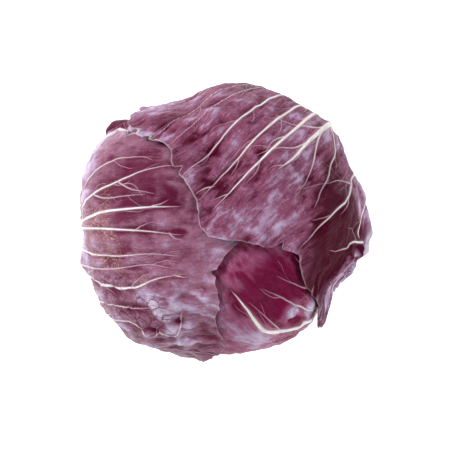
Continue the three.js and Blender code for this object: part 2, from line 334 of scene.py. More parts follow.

# %% [markdown]
# ## The veins
#
# Real veins leave the stem side by side inside the thick white rib, bend away from it one by one and branch
# on their way to the margin. Here every vein is a short list of points on the leaf's sheet with a half width
# that shrinks to its tip. The three outer leaves have their main veins listed one by one. The rest follow one
# rule: a fan of rays, each named by where it crosses the widest part of the head, with branches to both sides
# and a little seeded randomness.

# %% Veins listed one by one: half width in millimetres, then points on the sheet from stem to tip
HAND_VEINS = {
    1: [
        (1.5, [(0, 2), (0.2, 11.7), (0.5, 20), (0.7, 28.3), (0, 38.7), (1, 50)]),
        (0.42, [(0, 20), (-2.5, 25), (-6.3, 29.7), (-11.7, 38.3), (-15, 50)]),
        (0.36, [(0.5, 16), (4, 20), (7.6, 22.1), (14, 26), (22, 30)]),
        (0.34, [(0.5, 27), (3.3, 34.5), (9, 42), (14, 50)]),
        (0.55, [(-1, 2), (-4, 10), (-10.3, 15.9), (-13, 22), (-17.2, 28.6), (-20.5, 37), (-24, 44)]),
        (0.32, [(-10, -14), (-15, -2), (-18.5, 8), (-20.5, 17), (-22, 24)]),
        (0.85, [(-18, -14), (-21.6, -6.8), (-22.5, 6), (-25.6, 16.3), (-28.6, 23.2), (-31, 35), (-34, 46),
                (-40, 56)]),
        (0.34, [(-25, 14), (-22.5, 19), (-20.4, 23), (-19, 30)]),
        (1.15, [(-29, -16), (-33.7, 0), (-38, 8), (-42.2, 12.5), (-45.5, 13.4), (-48.4, 11)]),
        (0.45, [(-49.6, 9), (-49.3, 13.2), (-48.2, 18.5), (-48.6, 22.2), (-50, 23.4), (-49.7, 28),
                (-49.5, 32.5), (-48, 36)]),
    ],
    2: [
        (1.15, [(-0.5, -4), (-0.9, 5.6), (-4.8, 23.5), (-8, 45.3), (-10, 62)]),
        (0.85, [(0.6, -4), (1.5, 1.8), (2.1, 26.9), (4, 46.2), (7, 62)]),
        (0.6, [(-1.6, -6), (-3.7, 2.8), (-12, 15.1), (-18.7, 28.8), (-24.9, 42.2), (-29, 52), (-34, 62)]),
        (0.45, [(-5, -12), (-7.7, -6.8), (-17.8, 9.1), (-25.1, 21.4), (-29.4, 30.5), (-32, 38), (-31, 44)]),
        (0.6, [(6, -8), (9.9, 1.6), (12.7, 16.3), (14.2, 30), (15.4, 44.8), (19, 60)]),
        (0.5, [(11, -8), (15.6, 1.1), (17, 6), (17.8, 9.9), (19.4, 26), (20.5, 43.7), (25, 56)]),
        (0.9, [(16, -12), (20.3, 0.2), (25.2, 14.3), (28, 26), (29.3, 35.5), (27.7, 47.1), (29, 60)]),
        (0.55, [(27, -18), (31.4, -6.1), (34.1, 14.5), (39.6, 32.1), (40, 44)]),
        (0.5, [(35, -14), (39.7, 7.4), (44.8, 21.4), (51.4, 21.3), (53.8, 21.7), (53.5, 27.9), (58.8, 29.3)]),
        (0.4, [(53.5, 27.9), (58.8, 29.3), (56.8, 36.2), (51, 43), (48.4, 46.8)]),
        (0.6, [(-27, -10), (-31.9, 2.5), (-36.6, 5.1), (-40.3, 7.5), (-44.3, 16.6)]),
        (0.3, [(-18.7, 28.8), (-16, 38), (-15, 50)]),
        (0.3, [(-12, 15), (-11, 24), (-13, 36), (-14, 46)]),
    ],
    3: [
        (2.3, [(-3.5, -5), (-7.8, 10.3), (-12, 14.5), (-17.5, 18.5), (-22.3, 23), (-24.6, 29), (-25, 35.5),
               (-25, 42), (-26, 54)]),
        (0.6, [(0, 0), (-0.7, 9.3), (-3.7, 18.3), (-5.4, 26.5), (-8.3, 34.7), (-12, 44)]),
        (0.5, [(3, 4), (4.4, 19.2), (1.2, 33.3), (-2, 44)]),
        (0.32, [(-18.6, 16.2), (-19, 24), (-20, 33), (-22, 44)]),
        (0.3, [(-10, 2), (-20, 8), (-30.9, 12), (-40, 20), (-52, 30)]),
        (0.3, [(-12, -2), (-24, 2), (-36, 9), (-48, 18)]),
    ],
}
USUAL_RAYS = [-58, -45, -33.5, -24, -15.5, -9, -3.5, 0, 4, 9.5, 16, 25, 34, 46, 57]
RAYS = {
    1: [6, 12, 20, 29, 39, 51],
    2: [49, 61],
    3: [10, 18, 28, 40, 52],
    4: [ray for ray in USUAL_RAYS if ray != 46],
}
print("veins placed by hand:", sum(len(veins) for veins in HAND_VEINS.values()))

# %% Growing the vein tree
STEM_PLACE = -84
HIGH_START = 8
ROOT_SPREADS = (0.1, 0.42, 0.75)
LOW_ROOT = 0.72
HIGH_ROOT = 0.45
RAY_HEIGHTS = np.array([STEM_PLACE, -52, -24, 0, 22, 44, 66, 84])
RAY_SPREADS = np.array([*ROOT_SPREADS, 1, 1.28, 1.55, 1.75, 1.85])
RAY_DROOP = 0.55
FAN_HALF_WIDTH = 60
RAY_WIDTHS = (1.0, 0.38)
THIN_RAY_PLACE = 30
BRANCH_START = -26
BRANCH_END = 5
BRANCH_ANGLES = (22, 44)
BRANCH_LENGTHS = (0.6, 1.3)
BRANCH_SHORTENING = 0.35
BRANCH_STEPS = 6
BRANCH_WOBBLE = 14
BRANCH_CURL = 5
BRANCH_WIDTHS = (0.2, 0.42)
BRANCH_GAPS = (0.7, 1.5)


def smooth_line(points, steps=6):
    """A denser line through the points, by the same rule as ring but open."""
    p = np.asarray(points, float)
    p = np.vstack([2 * p[0] - p[1], p, 2 * p[-1] - p[-2]])
    t = np.linspace(0, 1, steps, endpoint=False)[:, None]
    return np.vstack([*(between(*four, t) for four in zip(p, p[1:], p[2:], p[3:])), p[-2:-1]])


def rooted(points):
    """Carries a vein down to the stem inside the leaf's base, unless it starts high on the blade."""
    x, y = points[0]
    if y > HIGH_START:
        return points
    heights = (STEM_PLACE, lerp(y, STEM_PLACE, LOW_ROOT), lerp(y, STEM_PLACE, HIGH_ROOT))
    return [(x * spread, height) for spread, height in zip(ROOT_SPREADS, heights)] + points


def ray_points(x_at_waist):
    """A vein of the fan, named by where it crosses the widest part of the head."""
    outward = x_at_waist / FAN_HALF_WIDTH
    droop = np.clip(RAY_HEIGHTS, 0, None) * outward**2 * RAY_DROOP
    return list(zip(x_at_waist * RAY_SPREADS, RAY_HEIGHTS - droop))


def branches(line, half_width, rng, reach, spacing):
    """Side veins, left and right in turn, that bend towards the tip of the vein they leave."""
    made = []
    along = np.concatenate([[0], np.cumsum(np.hypot(*np.diff(line, axis=0).T))])
    start = np.interp(BRANCH_START, line[:, 1], along) + rng.uniform(2, 7)
    turn = rng.choice([-1, 1])
    while start < along[-1] - BRANCH_END:
        i = min(np.searchsorted(along, start), len(line) - 2)
        heading = math.atan2(*(line[i + 1] - line[i])[::-1])
        angle = heading + turn * math.radians(rng.uniform(*BRANCH_ANGLES))
        length = reach * rng.uniform(*BRANCH_LENGTHS) * (1 - BRANCH_SHORTENING * start / along[-1])
        points = [line[i]]
        for _ in range(BRANCH_STEPS):
            points.append(points[-1] + length / BRANCH_STEPS * np.array([math.cos(angle), math.sin(angle)]))
            angle += math.radians(rng.uniform(-BRANCH_WOBBLE, BRANCH_WOBBLE) - turn * BRANCH_CURL)
        made.append((half_width * rng.uniform(*BRANCH_WIDTHS), smooth_line(points, 3)))
        start += spacing * rng.uniform(*BRANCH_GAPS)
        turn = -turn
    return made


def vein_tree(leaf):
    """Half widths and lines of all veins: two sets of main ones, taken in turn, and two of branches."""
    rng = np.random.default_rng(100 + leaf.number)
    main = [(width, smooth_line(rooted(points))) for width, points in HAND_VEINS.get(leaf.number, [])]
    for x in RAYS.get(leaf.number, USUAL_RAYS):
        width = lerp(*RAY_WIDTHS, min(1, abs(x) / THIN_RAY_PLACE)) * rng.uniform(0.8, 1.15)
        x_at_waist = x * rng.uniform(0.93, 1.07) + rng.uniform(-1, 1)
        main.append((width, smooth_line(ray_points(x_at_waist))))
    main.sort(key=lambda vein: vein[1][len(vein[1]) // 2, 0])
    side = []
    for width, line in main:
        first = branches(line, max(0.5, min(width, 0.8)), rng, reach=15, spacing=16)
        side += first
        if leaf.number in HAND_VEINS:
            continue
        for half_width, twig in first:
            side += branches(twig, half_width * 1.6, rng, reach=6, spacing=11)
    return main[::2], main[1::2], side[::2], side[1::2]


tree = vein_tree(LEAVES[3])
print("leaf 4 has", len(tree[0] + tree[1]), "main veins and", len(tree[2] + tree[3]), "branches")

# %% Distance to the nearest vein
TIP_WIDTH = 0.14
TAPER = 0.7
VEIN_REACH = 5.0
FAR_SHARE = 40.0
FAR_GAP = 12.0


def vein_distance(veins, x, y):
    """Signed distance to the nearest vein as a share of its half width, the distance, and that half width."""
    share = np.full(len(x), FAR_SHARE)
    gap = np.full(len(x), FAR_GAP)
    width = np.full(len(x), TIP_WIDTH)
    for half_width, line in veins:
        low = line.min(axis=0) - VEIN_REACH
        high = line.max(axis=0) + VEIN_REACH
        near = np.flatnonzero((x > low[0]) & (x < high[0]) & (y > low[1]) & (y < high[1]))
        if not len(near):
            continue
        count = len(line) - 1
        for i, (a, step) in enumerate(zip(line, np.diff(line, axis=0))):
            px = x[near] - a[0]
            py = y[near] - a[1]
            t = np.clip((px * step[0] + py * step[1]) / (step @ step), 0, 1)
            px -= t * step[0]
            py -= t * step[1]
            distance = np.hypot(px, py)
            local_width = TIP_WIDTH + (half_width - TIP_WIDTH) * (1 - (i + t) / count) ** TAPER
            side = np.where(step[0] * py - step[1] * px > 0, 1, -1)
            is_nearer = distance / local_width < np.abs(share[near])
            chosen = near[is_nearer]
            share[chosen] = (side * distance / local_width)[is_nearer]
            gap[chosen] = distance[is_nearer]
            width[chosen] = local_width[is_nearer]
    return share, gap, width


gap = vein_distance(tree[0] + tree[1], np.zeros(1), np.zeros(1))[1]
print("the middle of leaf 4 is", round(float(gap[0]), 1), "mm from its nearest main vein")

# %% [markdown]
# ## The relief of a blade
#
# Between its veins a blade swells into small cushions. It is creased along the fan of the veins where it
# dried a little, and crumpled near its margin. Noise makes all that, and the colour follows it: painted
# lighter on the crests as highlight and darker in the hollows as shade. The larger forms are placed as soft
# round spots
# with x, y, radius and height: `FORM` only moves the surface, and `SWELLS` also colours it, as painted
# highlight on its crests and painted shade in its hollows. `FOLDS` are straight ridges, coloured the same
# way. The torn skirt of leaf 1 is `COMBED` into stripes, painted lighter on their crests and darker between
# them.
#
# All this is a height above the smooth form, in millimetres. It fades out where another leaf lies on top, so
# the leaves still can't touch.

# %% Forms listed one by one
FORM = {
    1: [(81, 9, 11, -2.6), *((x, -5, 6, 1.3) for x in (-46, -53, -60, -67)), (2, -9, 9, -1.4)],
    2: [(50, -3, 6, 1.4)],
    3: [(-42, 6, 9, 2.0)],
}
# SWELLS also paint the colour: lighter where they rise, as painted highlight, and darker where they sink, as
# painted shade.
SWELLS = {
    1: [(-54.5, -4, 3.0, 2.5), (-64, -4, 3.5, 1.3), (-47.5, -3, 3.0, 0.9), (-51, -3, 1.7, -1.2),
        (-59.5, -2, 2.2, -1.3), (-53, 13, 2.4, -0.8)],
    2: [(14.5, -1, 6.5, 4.2), (51.6, 25.7, 6, 1.1), (51.6, 25.7, 2.5, -2.3), (53.5, 38.1, 5.5, 1.1),
        (53.5, 38.1, 2.3, -2.1), (46, 33, 2.6, -0.7), (40, 40, 5, 0.8), (36, 33, 4, 0.6), (43, 12, 5, 0.8),
        (38, 3, 4, -0.8), (31, 8, 4, 0.6), (68, 46, 12, -1.1), (60, 30, 6, 0.5), (-26, 16, 6, 0.5)],
    3: [(-34, 28, 14, 1.0), (-9, 27, 4.5, 1.0), (-4, 20, 3.5, 0.9)],
}
# FOLDS are painted into the colour too: highlight on their ridges, shade in their grooves.
FOLDS = {
    1: [(-51, 20.5, -58, 15, 1.8, 1.0), (-50.5, 9.5, -58, 7, 1.9, 2.3)],
    2: [(40, 7, 48, 15, 1.4, 0.7), (50, 20, 56, 33, 1.3, 0.6), (57, 12, 66, 30, 3.0, 0.5),
        (28, 20, 34, 33, 1.2, -0.5), (20, 12, 30, 24, 1.2, -0.4), (30, 2, 36, 12, 1.3, -0.8),
        (34, 14, 42, 24, 1.2, -0.7), (37, 24, 46, 24, 1.1, -0.6), (22, 3, 26, 12, 1.4, -0.7),
        (34, 40, 46, 38, 1.2, 0.7), (30, 30, 38, 45, 1.1, -0.5)],
    3: [(-12, 22.5, -8, 15, 1.7, -1.9), (-16, 28, -6, 33, 1.3, 0.5), (-24, 12, -40, 24, 1.2, 0.4)],
    4: [(49, -9, 42.5, -9, 5.2, 6.4), (50, 3, 40, 3.5, 2.6, 3.7), (46, 10, 39, 12, 2.2, 2.2)],
}
COMBED = {1: [(-74, 12, 17, 1.6)]}
ROUGH = {1: [(-56, 4, 14, 1.0), (-72, 12, 14, 0.9)], 2: [(46, 22, 24, 1.1)], 3: [(-10, 20, 14, 0.5)]}


def spots(table, leaf, x, y):
    """The sum of a leaf's soft round spots, each with its x, y, radius and strength."""
    total = np.zeros(len(x))
    for cx, cy, radius, strength in table.get(leaf.number, []):
        total += strength * bell(np.hypot(x - cx, y - cy) / radius)
    return total


def folds(leaf, x, y):
    """The sum of a leaf's straight soft ridges, each with its two ends, half width and height."""
    total = np.zeros(len(x))
    for ax, ay, bx, by, width, rise in FOLDS.get(leaf.number, []):
        along_x = bx - ax
        along_y = by - ay
        t = np.clip(((x - ax) * along_x + (y - ay) * along_y) / (along_x**2 + along_y**2), 0, 1)
        total += rise * bell(np.hypot(x - ax - t * along_x, y - ay - t * along_y) / width)
    return total


print("leaves with forms placed by hand:", sorted(set(FORM) | set(SWELLS) | set(FOLDS)))

# %% Relief
FAN_CENTRE = -96
FAN_RADIUS = 85
HOLLOW_LIMIT = 0.5
RIB_RISE = 0.85
CUSHION_RISE = 0.45
CREASE_RISE = 0.34
FINE_RISE = 0.14
SWELL_RISE = 0.55
DENT_RISE = 0.35
FLUTTER_RISE = 0.8
FLUTTER_BAND = 14
STRIPE_CREST = 1.1
CREST_LIMITS = (-1.6, 1.2)
COMB_SLOPE = -0.37
COMB_SQUEEZE = 0.33


def combing(leaf, x, y):
    """1 where a leaf is combed into stripes, 0 where its creases follow the fan."""
    return np.clip(spots(COMBED, leaf, x, y), 0, 1)


def fan(leaf, x, y):
    """Across and along the fan of the veins, or across and along the stripes, in millimetres."""
    angle = np.arctan2(x, y - FAN_CENTRE)
    combed = combing(leaf, x, y)
    across = lerp(angle * FAN_RADIUS, (y - COMB_SLOPE * x) * COMB_SQUEEZE, combed)
    return across, lerp(np.hypot(x, y - FAN_CENTRE), -x, combed)


def exposed(leaf, d):
    """1 where no outer leaf lies on this one, 0 where one does."""
    shown = np.ones(len(d))
    for other in LEAVES[: leaf.number - 1]:
        rho, psi = on_sheet(other, d)
        shown = np.minimum(shown, smoothstep(rho - edge_distance(other, psi) - fringe(other, psi), -3, 2))
    return shown


def relief(leaf, x, y, inside, veins):
    """Broad swellings, sharp ribs and creases, and how much of a crest each point is, for painted highlight
    and shade.
    """
    across, along = fan(leaf, x, y)
    bend = 2.2 * noise(x / 14, y / 14, leaf.number * 7)
    seed = leaf.number * 11
    rib = np.zeros(len(x))
    for share, gap, width in veins:
        rib = np.maximum(rib, RIB_RISE * width**0.7 * bell(share / 1.2))
    main_gap = np.minimum(veins[0][1], veins[1][1])
    side_gap = np.minimum(veins[2][1], veins[3][1])
    cushion = CUSHION_RISE * (1 - bell(np.minimum(main_gap, side_gap * 1.3) / 2.4))
    crease = 1 - 2 * np.abs(noise((across + bend) / 3.4, (along + bend) / 12, seed))
    fine = 1 - 2 * np.abs(noise((across - bend) / 1.8, (along + bend) / 5, seed + 1))
    swell = noise(x / 9, y / 9, seed + 2)
    dent = noise(x / 4.5 + bend, y / 4.5, seed + 5)
    margin = smoothstep(FLUTTER_BAND - inside, 0, FLUTTER_BAND - 1)
    flutter = noise(across / 4.5, along / 5.5, seed + 3)
    stripe = 1 - 2 * np.abs(noise(across / 1.2, along / 16, seed + 7))
    rough = 1 + spots(ROUGH, leaf, x, y)
    shaped = spots(SWELLS, leaf, x, y) + folds(leaf, x, y)
    broad = rough * (SWELL_RISE * swell + DENT_RISE * dent) + FLUTTER_RISE * margin * flutter - 0.1
    broad = np.maximum(broad, HOLLOW_LIMIT * np.tanh(broad / HOLLOW_LIMIT)) + shaped
    broad += spots(FORM, leaf, x, y)
    sharp = rib + cushion + rough * (CREASE_RISE * crease + FINE_RISE * fine)
    # Crests paint the colour lighter, as highlight, and hollows darker, as shade.
    crest = 0.5 * crease + 0.3 * fine + 0.3 * swell + 0.3 * dent + 0.5 * margin * flutter
    crest += 1.2 * (cushion - 0.25)
    crest += STRIPE_CREST * combing(leaf, x, y) * stripe
    return broad, sharp, crest * (0.4 + 0.6 * rough) + np.clip(shaped, *CREST_LIMITS)


across = fan(LEAVES[0], np.array([10.0]), np.zeros(1))[0]
print("10 mm beside the middle of leaf 1 is", round(float(across[0]), 1), "mm across its fan")

# %% [markdown]
# ## The margin
#
# A leaf's margin isn't a clean curve. It is ragged, it has notches where the leaf tore, and where nothing
# presses on it the last few millimetres roll outward into a lip. The rolled lip is an arc: the surface turns
# by a growing angle over the last part of the way to the edge. Tears, tips and rolls are listed by leaf, each
# with its psi, its width in degrees and its size.

# %% Margin
LIP = 0.045
RAGS = ((0.7, 3.1), (0.35, 1.3))  # depth and width
USUAL_ROLL = 0.35
ROLL_WIDTH = 17
TEARS = {
    1: [(33, 1.5, 2.6), (38, 1.2, 1.8), (60, 1.5, 3), (117, 2, 4), (146, 1.3, 3.6), (153, 1.1, 2.2),
        (167, 1.6, 2.4), (186, 3.2, 7.5), (200, 1.5, 4)],
    2: [(28, 1.5, 2.5), (66, 1.4, 4), (150, 1.6, 2), (335, 1.5, 3)],
    3: [(20, 1.5, 3.5), (75, 1.6, 4), (160, 1.5, 3)],
}
TIPS = {
    1: [(177, 3, 1.2), (37, 6, 1.6), (52, 7, -3.0), (4, 12, -6.5)],
    2: [(184, 13, -11.0), (162, 8, 1.5), (6, 12, -4.4)],
}
ROLLS = {
    1: [(5, 16, -0.6), (40, 10, 0.7), (165, 25, -0.4)],
    2: [(156, 16, 1.9), (36, 22, -0.5)],
    3: [(40, 25, 0.8)],
    4: [(120, 40, 1.5)],
}


def with_bells(value, table, leaf, psi):
    """A value along the margin with a leaf's soft bumps added, each with its psi, width and size."""
    for place, width, size in table.get(leaf.number, []):
        value = value + size * bell((psi - place) / width)
    return value


def fringe(leaf, psi):
    """How far the ragged margin stands out past the smooth one, or in from it."""
    out = np.zeros(len(psi))
    for step, (depth, width) in enumerate(RAGS):
        out += depth * noise(psi / width, psi * 0, leaf.number * 17 + step)
    for place, width, depth in TEARS.get(leaf.number, []):
        out -= depth * np.clip(1 - np.abs(psi - place) / width, 0, 1) ** 0.8
    return with_bells(out, TIPS, leaf, psi) * smoothstep(np.abs(from_base(psi)), 25, 45)


def roll_angle(leaf, psi):
    """How far the margin has turned outward at its very edge, in radians."""
    angle = USUAL_ROLL + USUAL_ROLL * noise(psi / ROLL_WIDTH, psi * 0, leaf.number * 23)
    return with_bells(angle, ROLLS, leaf, psi) * smoothstep(np.abs(from_base(psi)), 30, 60)


print("torn places:", sum(len(tears) for tears in TEARS.values()))

# %% [markdown]
# ## One leaf
#
# Two `create_grid` squares make a leaf: a fine one for the outside, which shows every crease, and a coarse
# one for the inside. `bridge_loops` joins their borders, so the leaf is one closed skin. Then every vertex of
# the square moves to its place on the head. Each square ring of the grid becomes a smaller copy of the leaf's
# outline, and the rings crowd together towards the margin, where the detail is.
#
# The distances to the veins, the crests and the place on the sheet are kept as attributes for the material.
# The outermost leaves get the finest grids, and the ones that don't show a coarse one.

# %% A closed skin of two squares, and its map
BASE_RIGHT, TIP_RIGHT, TIP_LEFT, BASE_LEFT = -70, 45, 135, 250
GRID_SLACK = 1e-7


def grid_place(a, b):
    """Ring size and psi for places on the square grid."""
    size = np.maximum(np.maximum(np.abs(a), np.abs(b)), 1e-9)
    reach = size - GRID_SLACK
    along_a = (a / size + 1) / 2
    along_b = (b / size + 1) / 2
    right = lerp(BASE_RIGHT, TIP_RIGHT, along_b)
    left = lerp(BASE_LEFT, TIP_LEFT, along_b)
    tip = lerp(TIP_LEFT, TIP_RIGHT, along_a)
    base = lerp(BASE_LEFT, BASE_RIGHT + 360, along_a)
    return size, np.select([a >= reach, a <= -reach, b >= reach], [right, left, tip], base)


def blank_leaf(cells, coarse_cells):
    """A closed skin of two squares, the fine one at z 0 and the coarse one at z -1."""
    bm = bmesh.new()
    bmesh.ops.create_grid(bm, x_segments=cells, y_segments=cells, size=1)
    down = Matrix.Translation((0, 0, -1))
    coarse = bmesh.ops.create_grid(bm, x_segments=coarse_cells, y_segments=coarse_cells, size=1, matrix=down)
    coarse_verts = set(coarse["verts"])
    bmesh.ops.reverse_faces(bm, faces=[face for face in bm.faces if face.verts[0] in coarse_verts])
    bmesh.ops.bridge_loops(bm, edges=[edge for edge in bm.edges if edge.is_boundary])
    bmesh.ops.recalc_face_normals(bm, faces=bm.faces)
    return bm


def add_attribute(mesh, name, *columns):
    data = mesh.attributes.new(name, "FLOAT_VECTOR", "POINT").data
    data.foreach_set("vector", np.column_stack(columns).astype(np.float32).ravel())


def unwrap(mesh, a, b, is_coarse):
    """The outside fills the left four fifths of the map and the inside the rest. The rim is a thin frame."""
    corners = read(mesh.loops, "vertex_index", int)
    totals = read(mesh.polygons, "loop_total", int)
    face = np.repeat(np.arange(len(totals)), totals)
    coarse_corners = np.bincount(face, weights=is_coarse[corners])
    is_inside = (coarse_corners == totals)[face]
    grow = np.where(is_coarse[corners] & ~is_inside, 1.012, 1.0)
    u = 0.5 + 0.485 * a[corners] * grow
    v = 0.5 + 0.485 * b[corners] * grow
    u = np.where(is_inside, 0.805 + 0.19 * u, 0.8 * u)
    uv_map = mesh.uv_layers.new(name="OFBake")
    uv_map.data.foreach_set("uv", np.column_stack([u, v]).astype(np.float32).ravel())


sample = blank_leaf(8, 2)
print("a skin of 8 cells a side has", len(sample.faces), "faces")
sample.free()

# %% Building a leaf
CROWDING = 1.25
BLADE_THICKNESS = 0.5
MARGIN_THICKNESS = 0.25
INNER_GAP = 0.35
COVERED_RELIEF = 0.12
LEAST_TURN = 0.01
THIN_BAND = 10
CLOSING_BAND = 2
WHITE_FOOT = -92
WHITE_HEIGHTS = (38, 34)
WHITE_HALF_WIDTH = 14
FINE_CELLS = {1: 264, 2: 248, 3: 236, 4: 212, 5: 196, 6: 188}
HIDDEN_CELLS = 72
COARSE_SHARE = 4
VEIN_SETS = ("main_a", "main_b", "side_a", "side_b")


def build_leaf(leaf):
    cells = FINE_CELLS.get(leaf.number, HIDDEN_CELLS)
    mesh = mesh_from(blank_leaf(cells, cells // COARSE_SHARE), f"leaf_{leaf.number:02d}")
    a, b, z = read(mesh.vertices, "co", float, width=3).reshape(-1, 3).T
    is_coarse = z < -0.5

    size, psi = grid_place(a, b)
    size = 1 - (1 - np.minimum(size, 1)) ** CROWDING
    smooth_edge = edge_distance(leaf, psi)
    edge = smooth_edge + fringe(leaf, psi)
    rho = smooth_edge * size + (edge - smooth_edge) * smoothstep(size, 0.5, 1)
    shown = exposed(leaf, direction(leaf, rho, psi))

    # The last part of the way to the edge turns outward along an arc.
    rolled = np.clip((size - 1 + LIP) / LIP, 0, 1)
    turn = np.maximum(roll_angle(leaf, psi) * shown, LEAST_TURN)
    lip_length = LIP * smooth_edge
    rho -= lip_length * (rolled - np.sin(turn * rolled) / turn)
    lip_rise = lip_length * (1 - np.cos(turn * rolled)) / turn

    x, y = square(rho, psi)
    inside = edge * (1 - size)
    veins = [vein_distance(some, x, y) for some in vein_tree(leaf)]
    broad, sharp, crest = relief(leaf, x, y, inside, veins)
    d = direction(leaf, rho, psi)
    freedom = lerp(COVERED_RELIEF, 1, shown)
    radius = leaf_radius(leaf, d) + lip_rise + broad * freedom
    thickness = lerp(MARGIN_THICKNESS, BLADE_THICKNESS, smoothstep(inside, 0, THIN_BAND)) + midrib(x, y)
    gap = INNER_GAP * smoothstep(inside, 0, CLOSING_BAND) * freedom
    radius = np.where(is_coarse, radius - thickness - gap, radius + sharp * freedom)
    mesh.vertices.foreach_set("co", (placed(d, radius) * MM).ravel())

    across, along = fan(leaf, x, y)
    white = bell((y - WHITE_FOOT) / WHITE_HEIGHTS[0])
    white += 1.1 * bell((y - STEM_PLACE) / WHITE_HEIGHTS[1]) * bell(x / WHITE_HALF_WIDTH)
    add_attribute(mesh, "sheet", x, y, inside)
    add_attribute(mesh, "fan", across, along, white)
    for name, vein in zip(VEIN_SETS, veins):
        add_attribute(mesh, name, *vein)
    # tone: the crest, for painted highlight and shade; the bloom with its painted sheen, highlight and shade;
    # the tan specks.
    add_attribute(mesh, "tone", crest, haze_and_painted_light(leaf, x, y), specks(leaf, x, y))
    add_attribute(mesh, "place", pale_rim(leaf, psi), is_coarse, spots(NET, leaf, x, y))
    unwrap(mesh, a, b, is_coarse)
    shade_smooth(mesh)
    return add_object(mesh)


print("grid cells along a side of the outer leaves:", list(FINE_CELLS.values()))

# %% [markdown]
# ## Where the bloom and the painted light lie
#
# A waxy, lavender bloom clouds parts of a leaf, as on a plum, and leaves others deep and clear. Its lavender
# also stands for painted sheen, and the same spots paint highlight on ridges and shade in holes and grooves.
# Tan specks sit where the leaf has aged, and a net of cells shows where it is thin. All are soft spots placed
# on the sheets of the outer leaves: x, y, radius, strength. A spot of bloom below 0 makes its place deeper,
# which in holes and grooves is painted shade.

# %% Bloom, painted light and specks
# Spots of bloom and painted light: above 0 bloom, painted sheen and painted highlight on ridges; below 0
# deeper colour and painted shade in holes and grooves.
LIGHT_AND_HAZE_SPOTS = {
    1: [(66, 39, 11, -0.8), (77, 27, 8, 1.0), (82, 4, 10, 0.6), (70, 53, 4, 0.7), (30, 40, 22, -0.25),
        (2, 30, 12, 0.6), (12, 18, 12, 0.4), (-8, 34, 9, 0.2), (-6, 12, 9, 0.4), (-42, 0, 6, 0.3),
        (-36, -6, 7, 0.4), (-78, 14, 9, -0.2), (-62, 19, 6, 0.4), (-70, 21, 8, 0.15), (-27, 2, 8, 0.7),
        (-35, 34, 16, -0.9), (-46, 26, 14, -1.1), (-60, 38, 12, -0.8), (-50, 2, 7, -0.5),
        (-34, 12, 6, 0.6), (-39, 6, 5, 0.5), (-33, -3, 6, 0.7), (-50, 30, 20, -0.5),
        (-52.5, 16.5, 2.6, -1.0), (-50.5, 8.5, 2.2, -1.6), (-53.5, 7.5, 2.0, -1.8),
        (-56.5, 6.5, 1.7, -1.4), (-49, 0, 3, 0.8), (-52.5, -2, 3, 0.7), (-56, -3, 3, 0.5),
        (-54, 12.5, 2.2, 1.1), (-57.5, 12.5, 2.4, 0.8), (-54.5, 20.5, 1.6, 1.0), (-57.5, 19.5, 1.9, 0.8),
        (-31, 11, 7, 0.4), (-38, 12, 5, 0.4), (-61, 6, 2.4, 1.3), (-60.5, -1, 2.2, 1.2)],
    2: [(-14, 4, 10, 0.7), (-26, 4, 8, 0.7), (-36, 10, 7, 0.4), (22, 34, 10, 0.2), (40, 38, 8, 0.4),
        (46, 46, 9, 0.3), (56, 46, 12, 0.15), (6, 2, 7, 0.7), (30, 4, 7, 0.3), (-20, 40, 12, -0.6),
        (-4, 40, 10, -0.6), (-24, 22, 12, -0.4), (0, 18, 7, -0.2), (60, 18, 9, -0.3), (44, 16, 7, 0.2),
        (14, 28, 9, -0.2)],
    3: [(-36, 22, 14, 0.1), (-28, 8, 12, 0.6), (-9, 27, 4.5, 1.0), (-2, 17, 6, 1.0),
        (-10, 18.5, 3.2, -1.8), (-18, 5, 6, -1.1), (-29, 3, 5, -0.5), (-8, 40, 18, -1.0),
        (-14, 33, 7, -0.5)],
    4: [(46, -4, 12, -1.4), (50, -9, 3, 0.7), (46, 3, 2, 0.8)],
}
SPECKS = {
    2: [(2, 18, 9, 1.0), (8, 24, 9, 1.0), (20, 30, 6, 0.6), (26, 40, 5, 0.6), (-12, 24, 6, 0.5),
        (-4, 10, 5, 0.5)],
}
NET = {
    1: [(60, 20, 14, 0.5), (-40, 20, 10, 0.3)],
    2: [(32, 22, 14, 1.1), (44, 34, 12, 1.0), (50, 10, 10, 0.6), (-10, 30, 12, 0.3)],
    3: [(-12, 38, 12, 0.6)],
}
FAINT_RIM = 0.08
PALE_RIMS = {1: [(38, 7, 0.6), (75, 30, 0.2)], 2: [(164, 18, 0.9)], 3: [(20, 20, 0.4)]}


def haze_and_painted_light(leaf, x, y):
    """Bloom, painted sheen and painted shade at a place: 0 is clear, 1 is clouded, below 0 deeper."""
    return 0.28 + 0.3 * noise(x / 22, y / 22, leaf.number * 31) + spots(LIGHT_AND_HAZE_SPOTS, leaf, x, y)


def specks(leaf, x, y):
    """How many tan specks a place has, from 0 for none to 1 for many."""
    return 0.05 + 0.12 * noise(x / 16, y / 16, leaf.number * 37) + spots(SPECKS, leaf, x, y)


def pale_rim(leaf, psi):
    """How white the very margin is, from a faint line to a broad one where it rolls over."""
    return with_bells(np.full(len(psi), FAINT_RIM), PALE_RIMS, leaf, psi)


print("spots of bloom placed by hand:", sum(len(places) for places in LIGHT_AND_HAZE_SPOTS.values()))

# %% [markdown]
# ## Shader arithmetic
#
# Node trees are easier to read as sums. `Wire` wraps one output socket and overloads the arithmetic
# operators, so `1 - mask` adds a Math node, and the same on a vector adds a Vector Math node. `Shader.node`
# makes every other node from its type, its settings and what goes into its sockets.

# %% Wire and Shader


class Wire:
    """One output socket of a shader node."""

    def __init__(self, shader, socket):
        self.shader = shader
        self.socket = socket

    def __add__(self, other):
        return self.shader.math("ADD", self, other)

    __radd__ = __add__

    def __sub__(self, other):
        return self.shader.math("SUBTRACT", self, other)

    def __rsub__(self, other):
        return self.shader.math("SUBTRACT", other, self)

    def __mul__(self, other):
        return self.shader.math("MULTIPLY", self, other)

    __rmul__ = __mul__

    def __abs__(self):
        return self.shader.math("ABSOLUTE", self)


